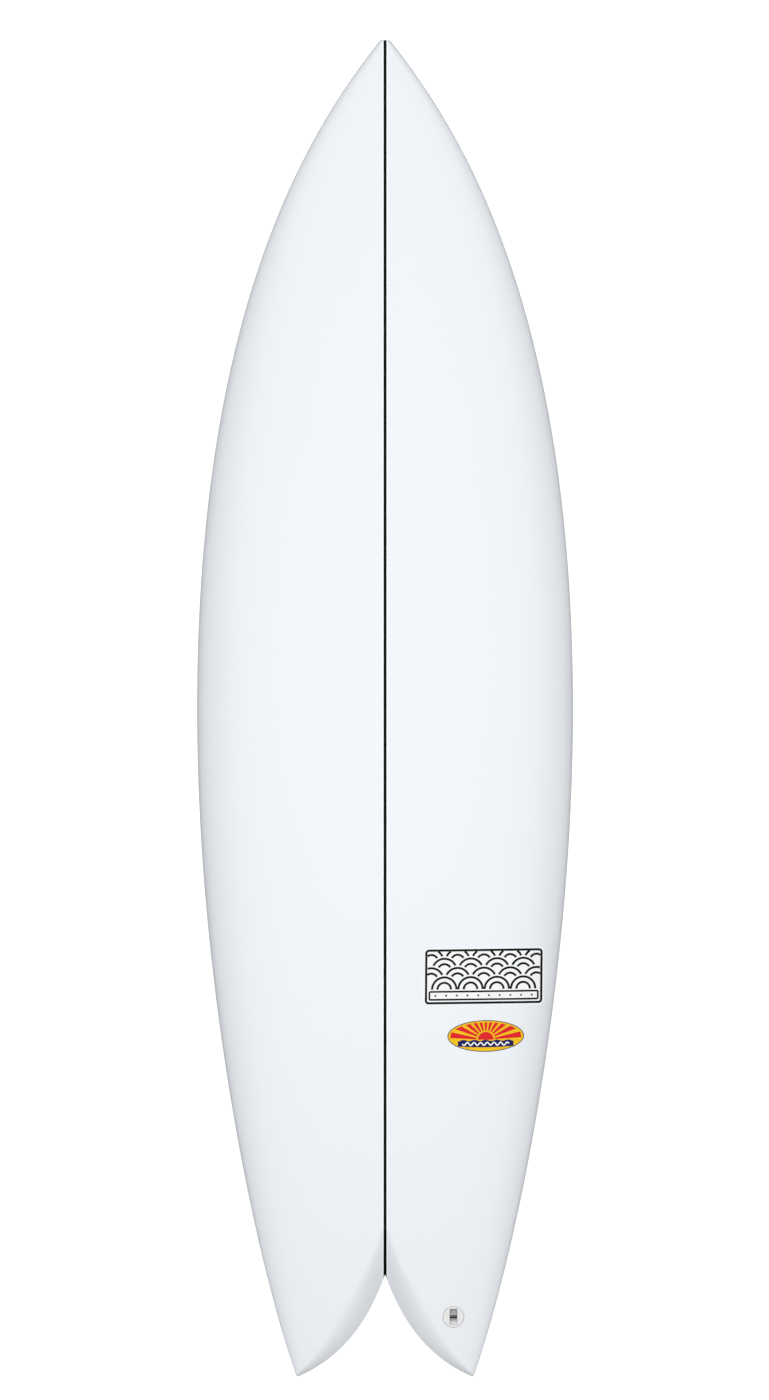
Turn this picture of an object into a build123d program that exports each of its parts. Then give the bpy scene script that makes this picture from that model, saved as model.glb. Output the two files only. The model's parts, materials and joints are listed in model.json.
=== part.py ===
from build123d import *

import os
from math import cos, radians, sin, tan

# A swallow-tail twin-fin shortboard, as an assembly of its real pieces.
#
# The pieces are shaped in the board's own level frame: +Y towards the nose, +X to the rider's
# right, +Z out of the deck, origin at mid-length on the underside of the stringer. The finished
# pieces are then pitched together into the stance of a board lying on the ground, which rests
# on its belly and on its two fin tips, and set down centred on the origin with the ground at
# Z = 0.

# Outline
LENGTH = 1778.0
WIDTH = 501.0
NOSE_BLUNT = 6.5  # half width of the blunt nose tip
TAIL_HALF = 117.5  # half width across the two tail tips
NOTCH_DEPTH = 136.2  # tail tips to the apex of the swallow notch
NOSE_Y = LENGTH / 2
TAIL_Y = -LENGTH / 2
WIDE = WIDTH / 2
NOSE_OUTLINE = [(NOSE_BLUNT, NOSE_Y), (101.0, 771.0), (WIDE, 535.0), (WIDE, 0.0)]
TAIL_OUTLINE = [(WIDE, 0.0), (WIDE, -363.0), (174.5, -729.0), (TAIL_HALF, TAIL_Y)]
NOTCH_APEX = (0.0, TAIL_Y + NOTCH_DEPTH)
NOTCH_OUTLINE = [NOTCH_APEX, (16.5, -798.0), (45.5, -859.0), (TAIL_HALF, TAIL_Y)]

# Foil and rocker
THICKNESS = 63.5
NOSE_THICKNESS = 9.0
TAIL_THICKNESS = 14.0
THICK_Y = 30.0  # where the board is thickest
NOSE_ROCKER = 122.0
TAIL_ROCKER = 50.0
FLAT_Y = -50.0  # the lowest point of the rocker
NOSE_ROCKER_POWER = 2.5
TAIL_ROCKER_POWER = 2.0
CONCAVE = -2.5  # rail to stringer at mid-length
ENTRY_ROLL = 6.0
TAIL_VEE = 3.5

# Cross-section
TAIL_TUCK = 6.0  # width of the turned-under rail at the tail tips
TUCK_GROWTH = 22.0  # how much wider it is at the nose tip
APEX_SHARE = 0.36  # height of the rail's widest point, from its edge to the deck
RAIL_FULLNESS = 0.62  # how upright the rail rises above that point
DECK_DOME = 0.72  # how far across the deck stays near its crown's height
BELLY_FLAT = 0.4  # how far across the bottom stays level with the stringer

# Rolled deck edge of the swallow notch
APEX_ROLL = 28.0  # width of the roll at the notch's apex
MIDDLE_ROLL = 16.0  # how much wider it is halfway along a lobe
TIP_ROLL = 4.0
ROLL_START = 0.40  # share of the thickness below which the notch wall is upright
ROLL_EXIT = 0.6  # how far above the deck the cutting curve ends
ROLL_EXIT_SLOPE = 0.04
# Cross-sections of the notch cutter: share of the way from apex to tip, and how far straight on
# past that point
ROLL_STATIONS = [
    (0, -70.0), (0, -45.0), (0, -20.0), (0, 0), (0.2, 0), (0.4, 0), (0.6, 0), (0.8, 0), (1, 0), (1, 25.0),
]
NOTCH_REACH = 170.0  # from the notch edge to the far side of the cutter
NOTCH_CLEAR = 90.0  # half height of the cutter
NOTCH_FLARE = 8.0  # how far the cutter overhangs the roll above the deck

# Laminates and core
SKIN = 0.8  # glass and resin, deck and bottom
LAP = 50.0  # how far the deck glass wraps under the bottom
STRINGER = 3.5
GLUE_LINE = 2.2

# Fin system
FIN_BASE = 128.0
FIN_DEPTH = 137.0
FIN_REAR_Y = -724.0  # trailing end of the fin base
FIN_REAR_X = 134.0
TOE_IN = 2.5
CANT = 6.0
FIN_GAP = 1.2  # fin base to the chord of the bottom under it
FIN_LEADING = [(64.0, 0.0), (44.0, 60.0), (0.0, 132.0), (-62.0, FIN_DEPTH)]
FIN_TRAILING = [(-64.0, 0.0), (-44.0, 45.0), (-54.0, 105.0), (-70.0, FIN_DEPTH)]
FIN_THICKNESS = 7.4
FIN_TIP_THICKNESS = 2.0
FIN_EDGE = 0.8  # thickness of the trailing edge
TAB_PITCH = 60.0
TAB_LENGTH = 21.0
TAB_THICKNESS = 6.2
TAB_DEPTH = 13.0
TAB_ROOT = 0.6  # how far a tab runs up into the fin
SLOT_DEPTH = 14.0
SLOT_CLEARANCE = 0.15
PLUG_RADIUS = 13.2
PLUG_DEPTH = 16.0
RESIN_WALL = 1.8
SCREW_RADIUS = 2.45
SCREW_CLEARANCE = 0.05
SCREW_LENGTH = 6.0
SCREW_POINT = 1.2  # length of its 45 degree point
SCREW_STANDOFF = 2.3  # along its axis, from the slot wall to the point
SCREW_TILT = 35.0  # from the plug's own axis
SCREW_AIM_DEPTH = 8.5  # where its axis meets the slot wall, below the plug's face
HEX_DEPTH = 2.5
HEX_ACROSS_FLATS = 2.5

# Leash plug
LEASH_X = 91.0
LEASH_Y = -808.7
LEASH_RADIUS = 13.4
LEASH_DEPTH = 13.5
LEASH_RESIN_WALL = 1.1
SCOOP_RADIUS = 10.5
SCOOP_WIDTH = 10.3
PIN_RADIUS = 1.9
PIN_DEPTH = 3.1  # pin axis below the deck
PIN_LENGTH = 22.0

# Printed patches of the deck laminate
LARGE_DECAL_CENTRE = (132.5, -356.0)
LARGE_DECAL_SIZE = (157.0, 73.5)
LARGE_DECAL_CORNER = 4.0
SMALL_DECAL_CENTRE = (134.0, -435.0)
SMALL_DECAL_SIZE = (102.0, 42.0)
DECAL_TURN = 1.0

# Stance on the ground
STANCE_PITCH = 6.18  # nose down, resting on belly and fin tips

SURFACE_ALLOWANCE = 5.0  # how far a plug's blank stands out before it is cut flush
BIG = 2000.0  # larger than the board, for cutting blocks
RAISED = (Align.CENTER, Align.CENTER, Align.MIN)
SUNK = (Align.CENTER, Align.CENTER, Align.MAX)


def bezier_point(controls, t):
    """Point of a Bezier curve at t, by repeated averaging."""
    points = [Vector(*c) for c in controls]
    while len(points) > 1:
        points = [a * (1 - t) + b * t for a, b in zip(points, points[1:])]
    return points[0]


def bezier_at(controls, axis, value):
    """Point of a Bezier curve whose coordinate on that axis has that value."""
    low, high = 0.0, 1.0
    rising = controls[-1][axis] > controls[0][axis]
    for _ in range(50):
        middle = (low + high) / 2
        if (tuple(bezier_point(controls, middle))[axis] < value) == rising:
            low = middle
        else:
            high = middle
    return bezier_point(controls, middle)


def half_width(y):
    """Half width of the outline at that station."""
    controls = NOSE_OUTLINE if y > 0 else TAIL_OUTLINE
    return bezier_at(controls, 1, y).X


def thickness(y):
    """Thickness at the stringer, largest at THICK_Y."""
    if y > THICK_Y:
        end, share = NOSE_THICKNESS, (y - THICK_Y) / (NOSE_Y - THICK_Y)
    else:
        end, share = TAIL_THICKNESS, (THICK_Y - y) / (THICK_Y - TAIL_Y)
    return end + (THICKNESS - end) * (1 - share**2)


def rocker(y):
    """Height of the stringer's underside."""
    if y > FLAT_Y:
        return NOSE_ROCKER * ((y - FLAT_Y) / (NOSE_Y - FLAT_Y)) ** NOSE_ROCKER_POWER
    return TAIL_ROCKER * ((FLAT_Y - y) / (FLAT_Y - TAIL_Y)) ** TAIL_ROCKER_POWER


def rail_lift(y):
    """How much higher the bottom is at the rail than at the stringer.

    Rolled entry at the nose, single concave through the middle, vee at the tail.
    """
    if y > 0:
        return CONCAVE + (ENTRY_ROLL - CONCAVE) * (y / NOSE_Y) ** 1.2
    return CONCAVE + (TAIL_VEE - CONCAVE) * (y / TAIL_Y) ** 2


def tuck(y):
    """Width of the turned-under rail: soft at the nose, hard at the tail."""
    share = (y - TAIL_Y) / LENGTH
    return min(TAIL_TUCK + TUCK_GROWTH * share, 0.5 * half_width(y))


def section_curves(y, inset):
    """The bottom, tucked rail and deck curves of a cross-section, as (x, z) Bezier controls."""
    width = half_width(y) - inset
    bottom = rocker(y) + inset
    top = rocker(y) + thickness(y) - inset
    edge = rocker(y) + rail_lift(y) * min(1.0, half_width(y) / TAIL_HALF) + inset
    apex = edge + APEX_SHARE * (top - edge)
    inner = width - tuck(y)
    bottom_curve = [(0, bottom), (BELLY_FLAT * width, bottom), (0.8 * inner, edge), (inner, edge)]
    tuck_curve = [
        (inner, edge),
        (inner + 0.6 * tuck(y), edge),
        (width, edge + 0.35 * (apex - edge)),
        (width, apex),
    ]
    deck_curve = [
        (width, apex),
        (width, apex + RAIL_FULLNESS * (top - apex)),
        (DECK_DOME * width, top),
        (0, top),
    ]
    return bottom_curve, tuck_curve, deck_curve


def deck_height(x, y, inset=0.0):
    """Height of the deck above a point of the plan, before the notch is rolled."""
    deck_curve = section_curves(y, inset)[2]
    if x >= deck_curve[0][0]:
        return deck_curve[0][1]
    return bezier_at(deck_curve, 0, x).Y


def bottom_height(x, y, inset=0.0):
    """Height of the underside above a point of the plan."""
    bottom_curve, tuck_curve, _ = section_curves(y, inset)
    if x >= tuck_curve[-1][0]:
        return tuck_curve[-1][1]
    return bezier_at(bottom_curve if x < bottom_curve[-1][0] else tuck_curve, 0, x).Y


def stations():
    """Cross-section stations, closer together towards the nose tip."""
    nose_side = [NOSE_Y * (1 - (1 - i / 11) ** 1.8) for i in range(12)]
    tail_side = [TAIL_Y * (1 - i / 8) for i in range(8)]
    return tail_side + nose_side


def notch_profile(t, run, inset):
    """Plane and controls of the notch cutter's cross-section.

    t runs along the notch edge from apex to tip, and run goes straight on past either end. In
    the plane, x is the distance from the edge into the board and y is height.
    """
    ahead = bezier_point(NOTCH_OUTLINE, min(t + 0.01, 1.0))
    behind = bezier_point(NOTCH_OUTLINE, max(t - 0.01, 0.0))
    along = (ahead - behind).normalized()
    inward = Vector(-along.Y, along.X, 0)
    foot = bezier_point(NOTCH_OUTLINE, t) + along * run + inward * inset
    roll = APEX_ROLL * (1 - t) + TIP_ROLL * t + 4 * MIDDLE_ROLL * t * (1 - t)

    def inside(distance):
        point = foot + inward * distance
        return max(point.X, 0), max(point.Y, TAIL_Y), inset

    deck = deck_height(*inside(roll))
    slope = 2 * (deck - deck_height(*inside(roll / 2))) / roll + ROLL_EXIT_SLOPE
    floor = bottom_height(*inside(0))
    wall = floor + ROLL_START * (deck - floor)
    lip = deck + ROLL_EXIT
    rise = lip - wall
    curve = [
        (0, wall),
        (roll / 3, wall + (2 * rise - roll * slope) / 3),
        (2 * roll / 3, lip - roll * slope / 3),
        (roll, lip),
    ]
    plane = Plane(origin=(foot.X, foot.Y, 0), x_dir=inward, z_dir=(inward.Y, -inward.X, 0))
    return plane, curve


def notch_cutter(inset):
    """The swallow notch with its rolled deck edge, for both lobes, as one cutting solid."""
    with BuildPart() as cutter:
        for t, run in ROLL_STATIONS:
            plane, roll = notch_profile(t, run, inset)
            foot, lip = roll[0], roll[-1]
            above = (lip[0] + NOTCH_FLARE, lip[1] + NOTCH_FLARE)
            with BuildSketch(plane):
                with BuildLine():
                    Bezier(*roll)
                    Polyline(
                        lip,
                        above,
                        (above[0], NOTCH_CLEAR),
                        (-NOTCH_REACH, NOTCH_CLEAR),
                        (-NOTCH_REACH, -NOTCH_CLEAR),
                        (0, -NOTCH_CLEAR),
                        foot,
                    )
                make_face()
        loft()
        with Locations((BIG / 2, 0, 0)):
            Box(BIG, BIG, BIG, mode=Mode.INTERSECT)
        mirror(about=Plane.YZ)
    return cutter.part


def board_body(inset):
    """The whole board's volume, shrunk by inset all round."""
    with BuildPart() as body:
        for y in stations():
            with BuildSketch(Plane.XZ.offset(-y * (1 - inset / NOSE_Y))):
                with BuildLine():
                    for curve in section_curves(y, inset):
                        Bezier(*curve)
                    mirror(about=Plane.YZ)
                make_face()
        loft()
        add(notch_cutter(inset), mode=Mode.SUBTRACT)
    return body.part


def core_slab(core, left, right):
    """The stretch of the core between two planes of constant x."""
    with BuildPart() as slab:
        add(core)
        with Locations(((left + right) / 2, 0, 0)):
            Box(right - left, BIG, BIG, mode=Mode.INTERSECT)
    return slab.part


def skin_column(outline, board, core):
    """The laminates over and under an outline drawn on the plan: the lower one comes first."""
    with BuildPart() as column:
        with BuildSketch(Plane.XY):
            add(outline)
        extrude(amount=BIG / 2, both=True)
        add(board, mode=Mode.INTERSECT)
        add(core, mode=Mode.SUBTRACT)
    return column.part.solids().sort_by(Axis.Z)


def flush_cylinder(plane, radius, depth, board):
    """A cylinder let into the board along a plane's normal, cut flush with the board's surface."""
    with BuildPart() as plug:
        with Locations(plane.offset(SURFACE_ALLOWANCE)):
            Cylinder(radius, depth + SURFACE_ALLOWANCE, align=SUNK)
        add(board, mode=Mode.INTERSECT)
    return plug.part


def resin_bed(plane, radius, depth, wall, board):
    """The cup of cured resin that holds a plug of that radius and depth."""
    with BuildPart() as bed:
        add(flush_cylinder(plane, radius + wall, depth + wall, board))
        add(flush_cylinder(plane, radius, depth, board), mode=Mode.SUBTRACT)
    return bed.part


def fin_frame():
    """Frame of the right fin: x forward along its base, y outboard, z down and out along it.

    Its origin is the middle of the chord under the base, on the board's underside.
    """
    front_x = FIN_REAR_X - FIN_BASE * sin(radians(TOE_IN))
    front_y = FIN_REAR_Y + FIN_BASE * cos(radians(TOE_IN))
    rear = Vector(FIN_REAR_X, FIN_REAR_Y, bottom_height(FIN_REAR_X, FIN_REAR_Y))
    front = Vector(front_x, front_y, bottom_height(front_x, front_y))
    forward = (front - rear).normalized()
    upright = Plane(origin=(rear + front) / 2, x_dir=forward, z_dir=forward.cross(Vector(1, 0, 0)))
    cant = radians(CANT)
    outward = cos(cant) * upright.z_dir + sin(cant) * upright.y_dir
    return Plane(origin=upright.origin, x_dir=forward, z_dir=outward)


def screw_frame(plug_plane):
    """Axis of a plug's grub screw: origin where it meets the slot wall, z out along the screw."""
    tilt = radians(SCREW_TILT)
    aim = Vector(0, -TAB_THICKNESS / 2 - SLOT_CLEARANCE, -SCREW_AIM_DEPTH)
    origin = plug_plane.from_local_coords(aim)
    axis = -sin(tilt) * plug_plane.y_dir + cos(tilt) * plug_plane.z_dir
    return Plane(origin=origin, x_dir=plug_plane.x_dir, z_dir=axis)


def make_fin(plane):
    """A fin with its two base tabs: flat on the inboard side, foiled outboard."""
    inner = -TAB_THICKNESS / 2
    steps = 10
    with BuildPart(plane) as fin:
        for step in range(steps + 1):
            depth = FIN_GAP + (FIN_DEPTH - FIN_GAP) * sin(radians(90 * step / steps))
            lead = bezier_at(FIN_LEADING, 1, depth).X
            trail = bezier_at(FIN_TRAILING, 1, depth).X
            chord = lead - trail
            thick = FIN_THICKNESS + (FIN_TIP_THICKNESS - FIN_THICKNESS) * depth / FIN_DEPTH
            outer = inner + thick
            peak = lead - 0.35 * chord
            with BuildSketch(plane.offset(depth)):
                with BuildLine():
                    Line((trail, inner), (lead - 0.25 * thick, inner))
                    Bezier((lead - 0.25 * thick, inner), (lead, inner), (lead, inner + 0.5 * thick),
                           (peak + 0.15 * chord, outer), (peak, outer))
                    Bezier((peak, outer), (peak - 0.3 * chord, outer),
                           (trail + 0.25 * chord, inner + FIN_EDGE + 0.3 * thick),
                           (trail, inner + FIN_EDGE))
                    Line((trail, inner + FIN_EDGE), (trail, inner))
                make_face()
        loft()
        for side in (-1, 1):
            with Locations((side * TAB_PITCH / 2, 0, FIN_GAP + TAB_ROOT)):
                Box(TAB_LENGTH, TAB_THICKNESS, TAB_DEPTH + FIN_GAP + TAB_ROOT, align=SUNK)
    return fin.part


def make_fin_plug(plane, board):
    """A round fin plug with its tab slot and the slanted hole of its grub screw."""
    slot = (TAB_LENGTH + 2 * SLOT_CLEARANCE, TAB_THICKNESS + 2 * SLOT_CLEARANCE)
    hole = SCREW_RADIUS + SCREW_CLEARANCE
    breakout = hole / tan(radians(SCREW_TILT))
    with BuildPart() as plug:
        add(flush_cylinder(plane, PLUG_RADIUS, PLUG_DEPTH, board))
        with Locations(plane.offset(SURFACE_ALLOWANCE)):
            Box(*slot, SLOT_DEPTH + SURFACE_ALLOWANCE, align=SUNK, mode=Mode.SUBTRACT)
        with Locations(screw_frame(plane).offset(-breakout)):
            Cylinder(hole, 2 * PLUG_DEPTH, align=RAISED, mode=Mode.SUBTRACT)
    return plug.part


def make_grub_screw(plane):
    """A socket grub screw with a 45 degree point, short of the tab it clamps."""
    axis = screw_frame(plane).offset(SCREW_STANDOFF)
    with BuildPart(axis) as screw:
        Cone(SCREW_RADIUS - SCREW_POINT, SCREW_RADIUS, SCREW_POINT, align=RAISED)
        with Locations((0, 0, SCREW_POINT)):
            Cylinder(SCREW_RADIUS, SCREW_LENGTH - SCREW_POINT, align=RAISED)
        with BuildSketch(axis.offset(SCREW_LENGTH)):
            RegularPolygon(HEX_ACROSS_FLATS / 2, 6, major_radius=False)
        extrude(amount=-HEX_DEPTH, mode=Mode.SUBTRACT)
    return screw.part


def make_twin(piece):
    """The same piece on the left of the board."""
    with BuildPart() as twin:
        mirror(piece, about=Plane.YZ)
    return twin.part


def leash_frame():
    """Frame of the leash plug: x across the board, z out of the deck, origin on the deck."""
    step = 5.0
    across = deck_height(LEASH_X + step, LEASH_Y) - deck_height(LEASH_X - step, LEASH_Y)
    along = deck_height(LEASH_X, LEASH_Y + step) - deck_height(LEASH_X, LEASH_Y - step)
    right = Vector(2 * step, 0, across)
    ahead = Vector(0, 2 * step, along)
    origin = (LEASH_X, LEASH_Y, deck_height(LEASH_X, LEASH_Y))
    return Plane(origin=origin, x_dir=right, z_dir=right.cross(ahead))


# Volumes that the pieces are cut from
board = board_body(0)
core = board_body(SKIN)
leash = leash_frame()
right_fin_frame = fin_frame()
plug_frames = {
    "front": Plane(right_fin_frame.location * Pos(TAB_PITCH / 2, 0, 0)),
    "rear": Plane(right_fin_frame.location * Pos(-TAB_PITCH / 2, 0, 0)),
}

# Everything inside this outline on the underside is the bottom laminate's; the deck's glass laps
# round the rails and into the notch up to it.
with BuildSketch() as lap_line:
    with BuildLine():
        Line((0, NOSE_Y), (NOSE_BLUNT, NOSE_Y))
        Bezier(*NOSE_OUTLINE)
        Bezier(*TAIL_OUTLINE)
        Bezier(*reversed(NOTCH_OUTLINE))
        Line(NOTCH_APEX, (0, NOSE_Y))
    make_face()
    mirror(about=Plane.YZ)
    offset(amount=-LAP)
bottom_skin = skin_column(lap_line.sketch.to_splines(), board, core)[0]

with BuildSketch() as large_decal_outline:
    with Locations(Location(LARGE_DECAL_CENTRE, DECAL_TURN)):
        RectangleRounded(*LARGE_DECAL_SIZE, LARGE_DECAL_CORNER)

with BuildSketch() as small_decal_outline:
    with Locations(Location(SMALL_DECAL_CENTRE, DECAL_TURN)):
        Ellipse(SMALL_DECAL_SIZE[0] / 2, SMALL_DECAL_SIZE[1] / 2)


# Fins, plugs and grub screws
with BuildPart() as fin_right:
    add(make_fin(right_fin_frame))
fin_right.part.label = "fin_right"

with BuildPart() as fin_left:
    add(make_twin(fin_right.part))
fin_left.part.label = "fin_left"

right_pieces = []
pockets = []
for place, frame in plug_frames.items():
    pockets.append(flush_cylinder(frame, PLUG_RADIUS + RESIN_WALL, PLUG_DEPTH + RESIN_WALL, board))
    with BuildPart() as fin_plug:
        add(make_fin_plug(frame, board))
    fin_plug.part.label = f"fin_plug_right_{place}"
    with BuildPart() as fin_plug_resin:
        add(resin_bed(frame, PLUG_RADIUS, PLUG_DEPTH, RESIN_WALL, board))
    fin_plug_resin.part.label = f"fin_plug_resin_right_{place}"
    with BuildPart() as grub_screw:
        add(make_grub_screw(frame))
    grub_screw.part.label = f"grub_screw_right_{place}"
    right_pieces += [fin_plug.part, fin_plug_resin.part, grub_screw.part]

left_pieces = []
for piece in right_pieces:
    with BuildPart() as twin:
        add(make_twin(piece))
    twin.part.label = piece.label.replace("right", "left")
    left_pieces.append(twin.part)

pockets += [make_twin(pocket) for pocket in pockets]

# Leash plug
leash_pocket = flush_cylinder(
    leash, LEASH_RADIUS + LEASH_RESIN_WALL, LEASH_DEPTH + LEASH_RESIN_WALL, board
)

with BuildPart() as leash_pin:
    with Locations(leash.offset(-PIN_DEPTH)):
        Cylinder(PIN_RADIUS, PIN_LENGTH, rotation=(0, 90, 0))
leash_pin.part.label = "leash_pin"

with BuildPart() as leash_plug_body:
    add(flush_cylinder(leash, LEASH_RADIUS, LEASH_DEPTH, board))
    with Locations(leash):
        Cylinder(SCOOP_RADIUS, SCOOP_WIDTH, rotation=(0, 90, 0), mode=Mode.SUBTRACT)
    add(leash_pin.part, mode=Mode.SUBTRACT)
leash_plug_body.part.label = "leash_plug_body"

with BuildPart() as leash_plug_resin:
    add(resin_bed(leash, LEASH_RADIUS, LEASH_DEPTH, LEASH_RESIN_WALL, board))
leash_plug_resin.part.label = "leash_plug_resin"

# Core: the stringer, a glue line on each face of it, and the two halves of the foam blank
glue_x = STRINGER / 2 + GLUE_LINE

with BuildPart() as stringer:
    add(core_slab(core, -STRINGER / 2, STRINGER / 2))
stringer.part.label = "stringer"

with BuildPart() as glue_line_right:
    add(core_slab(core, STRINGER / 2, glue_x))
glue_line_right.part.label = "glue_line_right"

with BuildPart() as glue_line_left:
    add(core_slab(core, -glue_x, -STRINGER / 2))
glue_line_left.part.label = "glue_line_left"

with BuildPart() as foam_blank_right:
    add(core_slab(core, glue_x, WIDTH))
    add(pockets + [leash_pocket], mode=Mode.SUBTRACT)
foam_blank_right.part.label = "foam_blank_right"

with BuildPart() as foam_blank_left:
    add(core_slab(core, -WIDTH, -glue_x))
    add(pockets, mode=Mode.SUBTRACT)
foam_blank_left.part.label = "foam_blank_left"

# Laminates
with BuildPart() as bottom_laminate:
    add(bottom_skin)
    add(pockets, mode=Mode.SUBTRACT)
bottom_laminate.part.label = "bottom_laminate"

with BuildPart() as deck_decal_large:
    add(skin_column(large_decal_outline.sketch, board, core)[-1])
deck_decal_large.part.label = "deck_decal_large"

with BuildPart() as deck_decal_small:
    add(skin_column(small_decal_outline.sketch, board, core)[-1])
deck_decal_small.part.label = "deck_decal_small"

with BuildPart() as deck_laminate:
    add(board)
    add(core, mode=Mode.SUBTRACT)
    add(bottom_skin, mode=Mode.SUBTRACT)
    add([deck_decal_large.part, deck_decal_small.part], mode=Mode.SUBTRACT)
    add(pockets + [leash_pocket], mode=Mode.SUBTRACT)
deck_laminate.part.label = "deck_laminate"

# Stance: pitched nose down and set down centred on the origin
pitched = board.rotate(Axis.X, -STANCE_PITCH).bounding_box()
fin_reach = fin_right.part.rotate(Axis.X, -STANCE_PITCH).bounding_box()
stance = Pos(0, -(pitched.min.Y + pitched.max.Y) / 2, -min(pitched.min.Z, fin_reach.min.Z))
stance = stance * Rot(-STANCE_PITCH, 0, 0)

os.makedirs("parts", exist_ok=True)
pieces = [
    deck_laminate.part, bottom_laminate.part, foam_blank_left.part, foam_blank_right.part,
    stringer.part, glue_line_left.part, glue_line_right.part,
    deck_decal_large.part, deck_decal_small.part,
    leash_plug_body.part, leash_pin.part, leash_plug_resin.part,
    fin_left.part, fin_right.part,
]
for piece in pieces + left_pieces + right_pieces:
    piece.move(stance)
    export_step(piece, f"parts/{piece.label}.step")
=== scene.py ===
import bpy
import bmesh
import numpy as np
from math import cos, pi, radians, sin, sqrt
from mathutils import Matrix, Vector
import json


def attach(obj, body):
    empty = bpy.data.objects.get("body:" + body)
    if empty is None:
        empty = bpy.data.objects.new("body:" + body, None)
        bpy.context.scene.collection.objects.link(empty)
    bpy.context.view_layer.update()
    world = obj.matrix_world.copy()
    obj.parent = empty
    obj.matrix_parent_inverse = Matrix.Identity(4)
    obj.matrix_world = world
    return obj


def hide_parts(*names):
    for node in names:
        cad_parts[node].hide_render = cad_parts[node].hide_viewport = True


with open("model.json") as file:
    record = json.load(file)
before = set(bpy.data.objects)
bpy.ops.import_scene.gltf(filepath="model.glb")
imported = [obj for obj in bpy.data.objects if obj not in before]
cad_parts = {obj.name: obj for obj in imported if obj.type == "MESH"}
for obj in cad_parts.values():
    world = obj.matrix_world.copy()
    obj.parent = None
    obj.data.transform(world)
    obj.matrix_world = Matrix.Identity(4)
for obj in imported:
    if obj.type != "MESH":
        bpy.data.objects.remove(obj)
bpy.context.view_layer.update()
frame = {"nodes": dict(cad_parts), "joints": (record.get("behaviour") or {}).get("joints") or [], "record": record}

# A swallow-tail twin-fin shortboard, lying deck up on its belly and its two fin tips.
#
# The glassed skin is one smooth closed mesh, shaped in the board's own level frame: x to the
# rider's right, y towards the nose, z out of the deck, in millimetres from the middle of the
# stringer's underside. The frame's bottom_support mount says where that frame is. Fins, plugs,
# pin, screws, resin and core are the CAD pieces, with their finish added here.

MM = 0.001

# Outline, its curves given by four points of half width and place along the board
LENGTH = 1778.0
NOSE_Y = LENGTH / 2
TAIL_Y = -LENGTH / 2
WIDE = 250.45
TAIL_HALF = 117.5
NOSE_OUTLINE = [(6.5, NOSE_Y), (101.0, 771.0), (WIDE, 535.0), (WIDE, 0.0)]
TAIL_OUTLINE = [(WIDE, 0.0), (WIDE, -363.0), (174.5, -729.0), (TAIL_HALF, TAIL_Y)]
NOTCH_Y = -752.8  # apex of the swallow notch
NOTCH_OUTLINE = [(0.0, NOTCH_Y), (16.5, -798.0), (45.5, -859.0), (TAIL_HALF, TAIL_Y)]

# Foil and rocker
THICKNESS = 63.5
NOSE_THICKNESS = 9.0
TAIL_THICKNESS = 13.6
THICK_Y = 30.0
NOSE_ROCKER = 122.0
TAIL_ROCKER = 50.0
FLAT_Y = -50.0
CONCAVE = -2.5
NOSE_POWER, TAIL_POWER = 2.5, 2  # how late the rocker turns up
CLEARANCE = 0.05  # of the skin's underside above the lowest point
ENTRY_ROLL = 6.0
ENTRY_POWER = 1.2
TAIL_VEE = 3.5
NOSE_CAP = 1.6  # radius of the rounded nose tip
TIP_CUT = 0.7  # how much of the two sharp tail tips is worn off

# Cross-section, with the handles of its curves as shares of the width or height they span
APEX_SHARE = 0.36  # height of the rail's widest line
RAIL_FULLNESS = 0.62  # how far the rail climbs before it turns over
DECK_FLATNESS = 0.72  # how far out the deck stays level
FLAT_NEAR, FLAT_FAR = 0.4, 0.8  # the nearly flat middle of the bottom
TUCK_REACH, TUCK_CLIMB = 0.6, 0.35  # the turned-under edge, out and up
TUCK_TAIL, TUCK_GAIN = 6.0, 22.0  # its width at the tail, and what it gains up to the nose
TUCK_LIMIT = 0.5  # the share of the half width that it never passes

# Rolled deck edge of the notch, with its width at the apex, half way and at the tip
APEX_ROLL = 28.0
MIDDLE_ROLL = 16.0
TIP_ROLL = 4.0
ROLL_START = 0.40  # how far up the notch's wall it starts
ROLL_EXIT = 0.15  # how far its curve passes over the deck, so that the two cross
ROLL_EXIT_SLOPE = 0.01  # and how much steeper it is there
ROLL_BLEND = 0.12  # softness of the line where the roll meets the deck
ROLL_LEAD, ROLL_FOLLOW = 90.0, 25.0  # how far the edge runs straight on past the apex and the tip

# What shows in and through the glass
LAP = 50.0  # how far the deck glass wraps under the bottom
STRINGER = 3.5
GLUE_LINE = 2.2
STRINGER_SEEN = 4.0  # the stringer's width as the glass shows it

# Pockets of the plugs
FIN_POCKET = (15.0, 18.5)  # radius and depth
LEASH_POCKET = (14.5, 15.5)
POCKET_GAP = 0.05

# Printed patches
LARGE_DECAL_CENTRE = (131.4, -355.6)
LARGE_DECAL_SIZE = (156.4, 73.0)
LARGE_DECAL_CORNER = 5.0
SMALL_DECAL_CENTRE = (134.0, -435.0)
SMALL_DECAL_SIZE = (102.0, 42.0)
DECAL_TURN = radians(0.7)
DECAL_LEAN = 0.022  # the patches' sides lean a little from square

# Mesh
DECK_COLUMNS = 56
BOTTOM_COLUMNS = 40
WALL_ROWS = 4
LOBE_ROWS, LOBE_GATHER = 72, 1.25  # the rows of the tail lobes gather towards the tips
ROLL_STEP, MAIN_STEP, NOSE_STEP = 2.5, 5.2, 2.6  # between rows, from the notch forward
FINE_NOSE_Y = 800.0
CAP_ROWS = 8
EDGE_SAMPLES, LEAD_SAMPLES, FOLLOW_SAMPLES = 900, 300, 80  # of the notch edge
RIM_SAMPLES = 260  # of each curve of the outline
POCKET_SEGMENTS = 128

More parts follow.
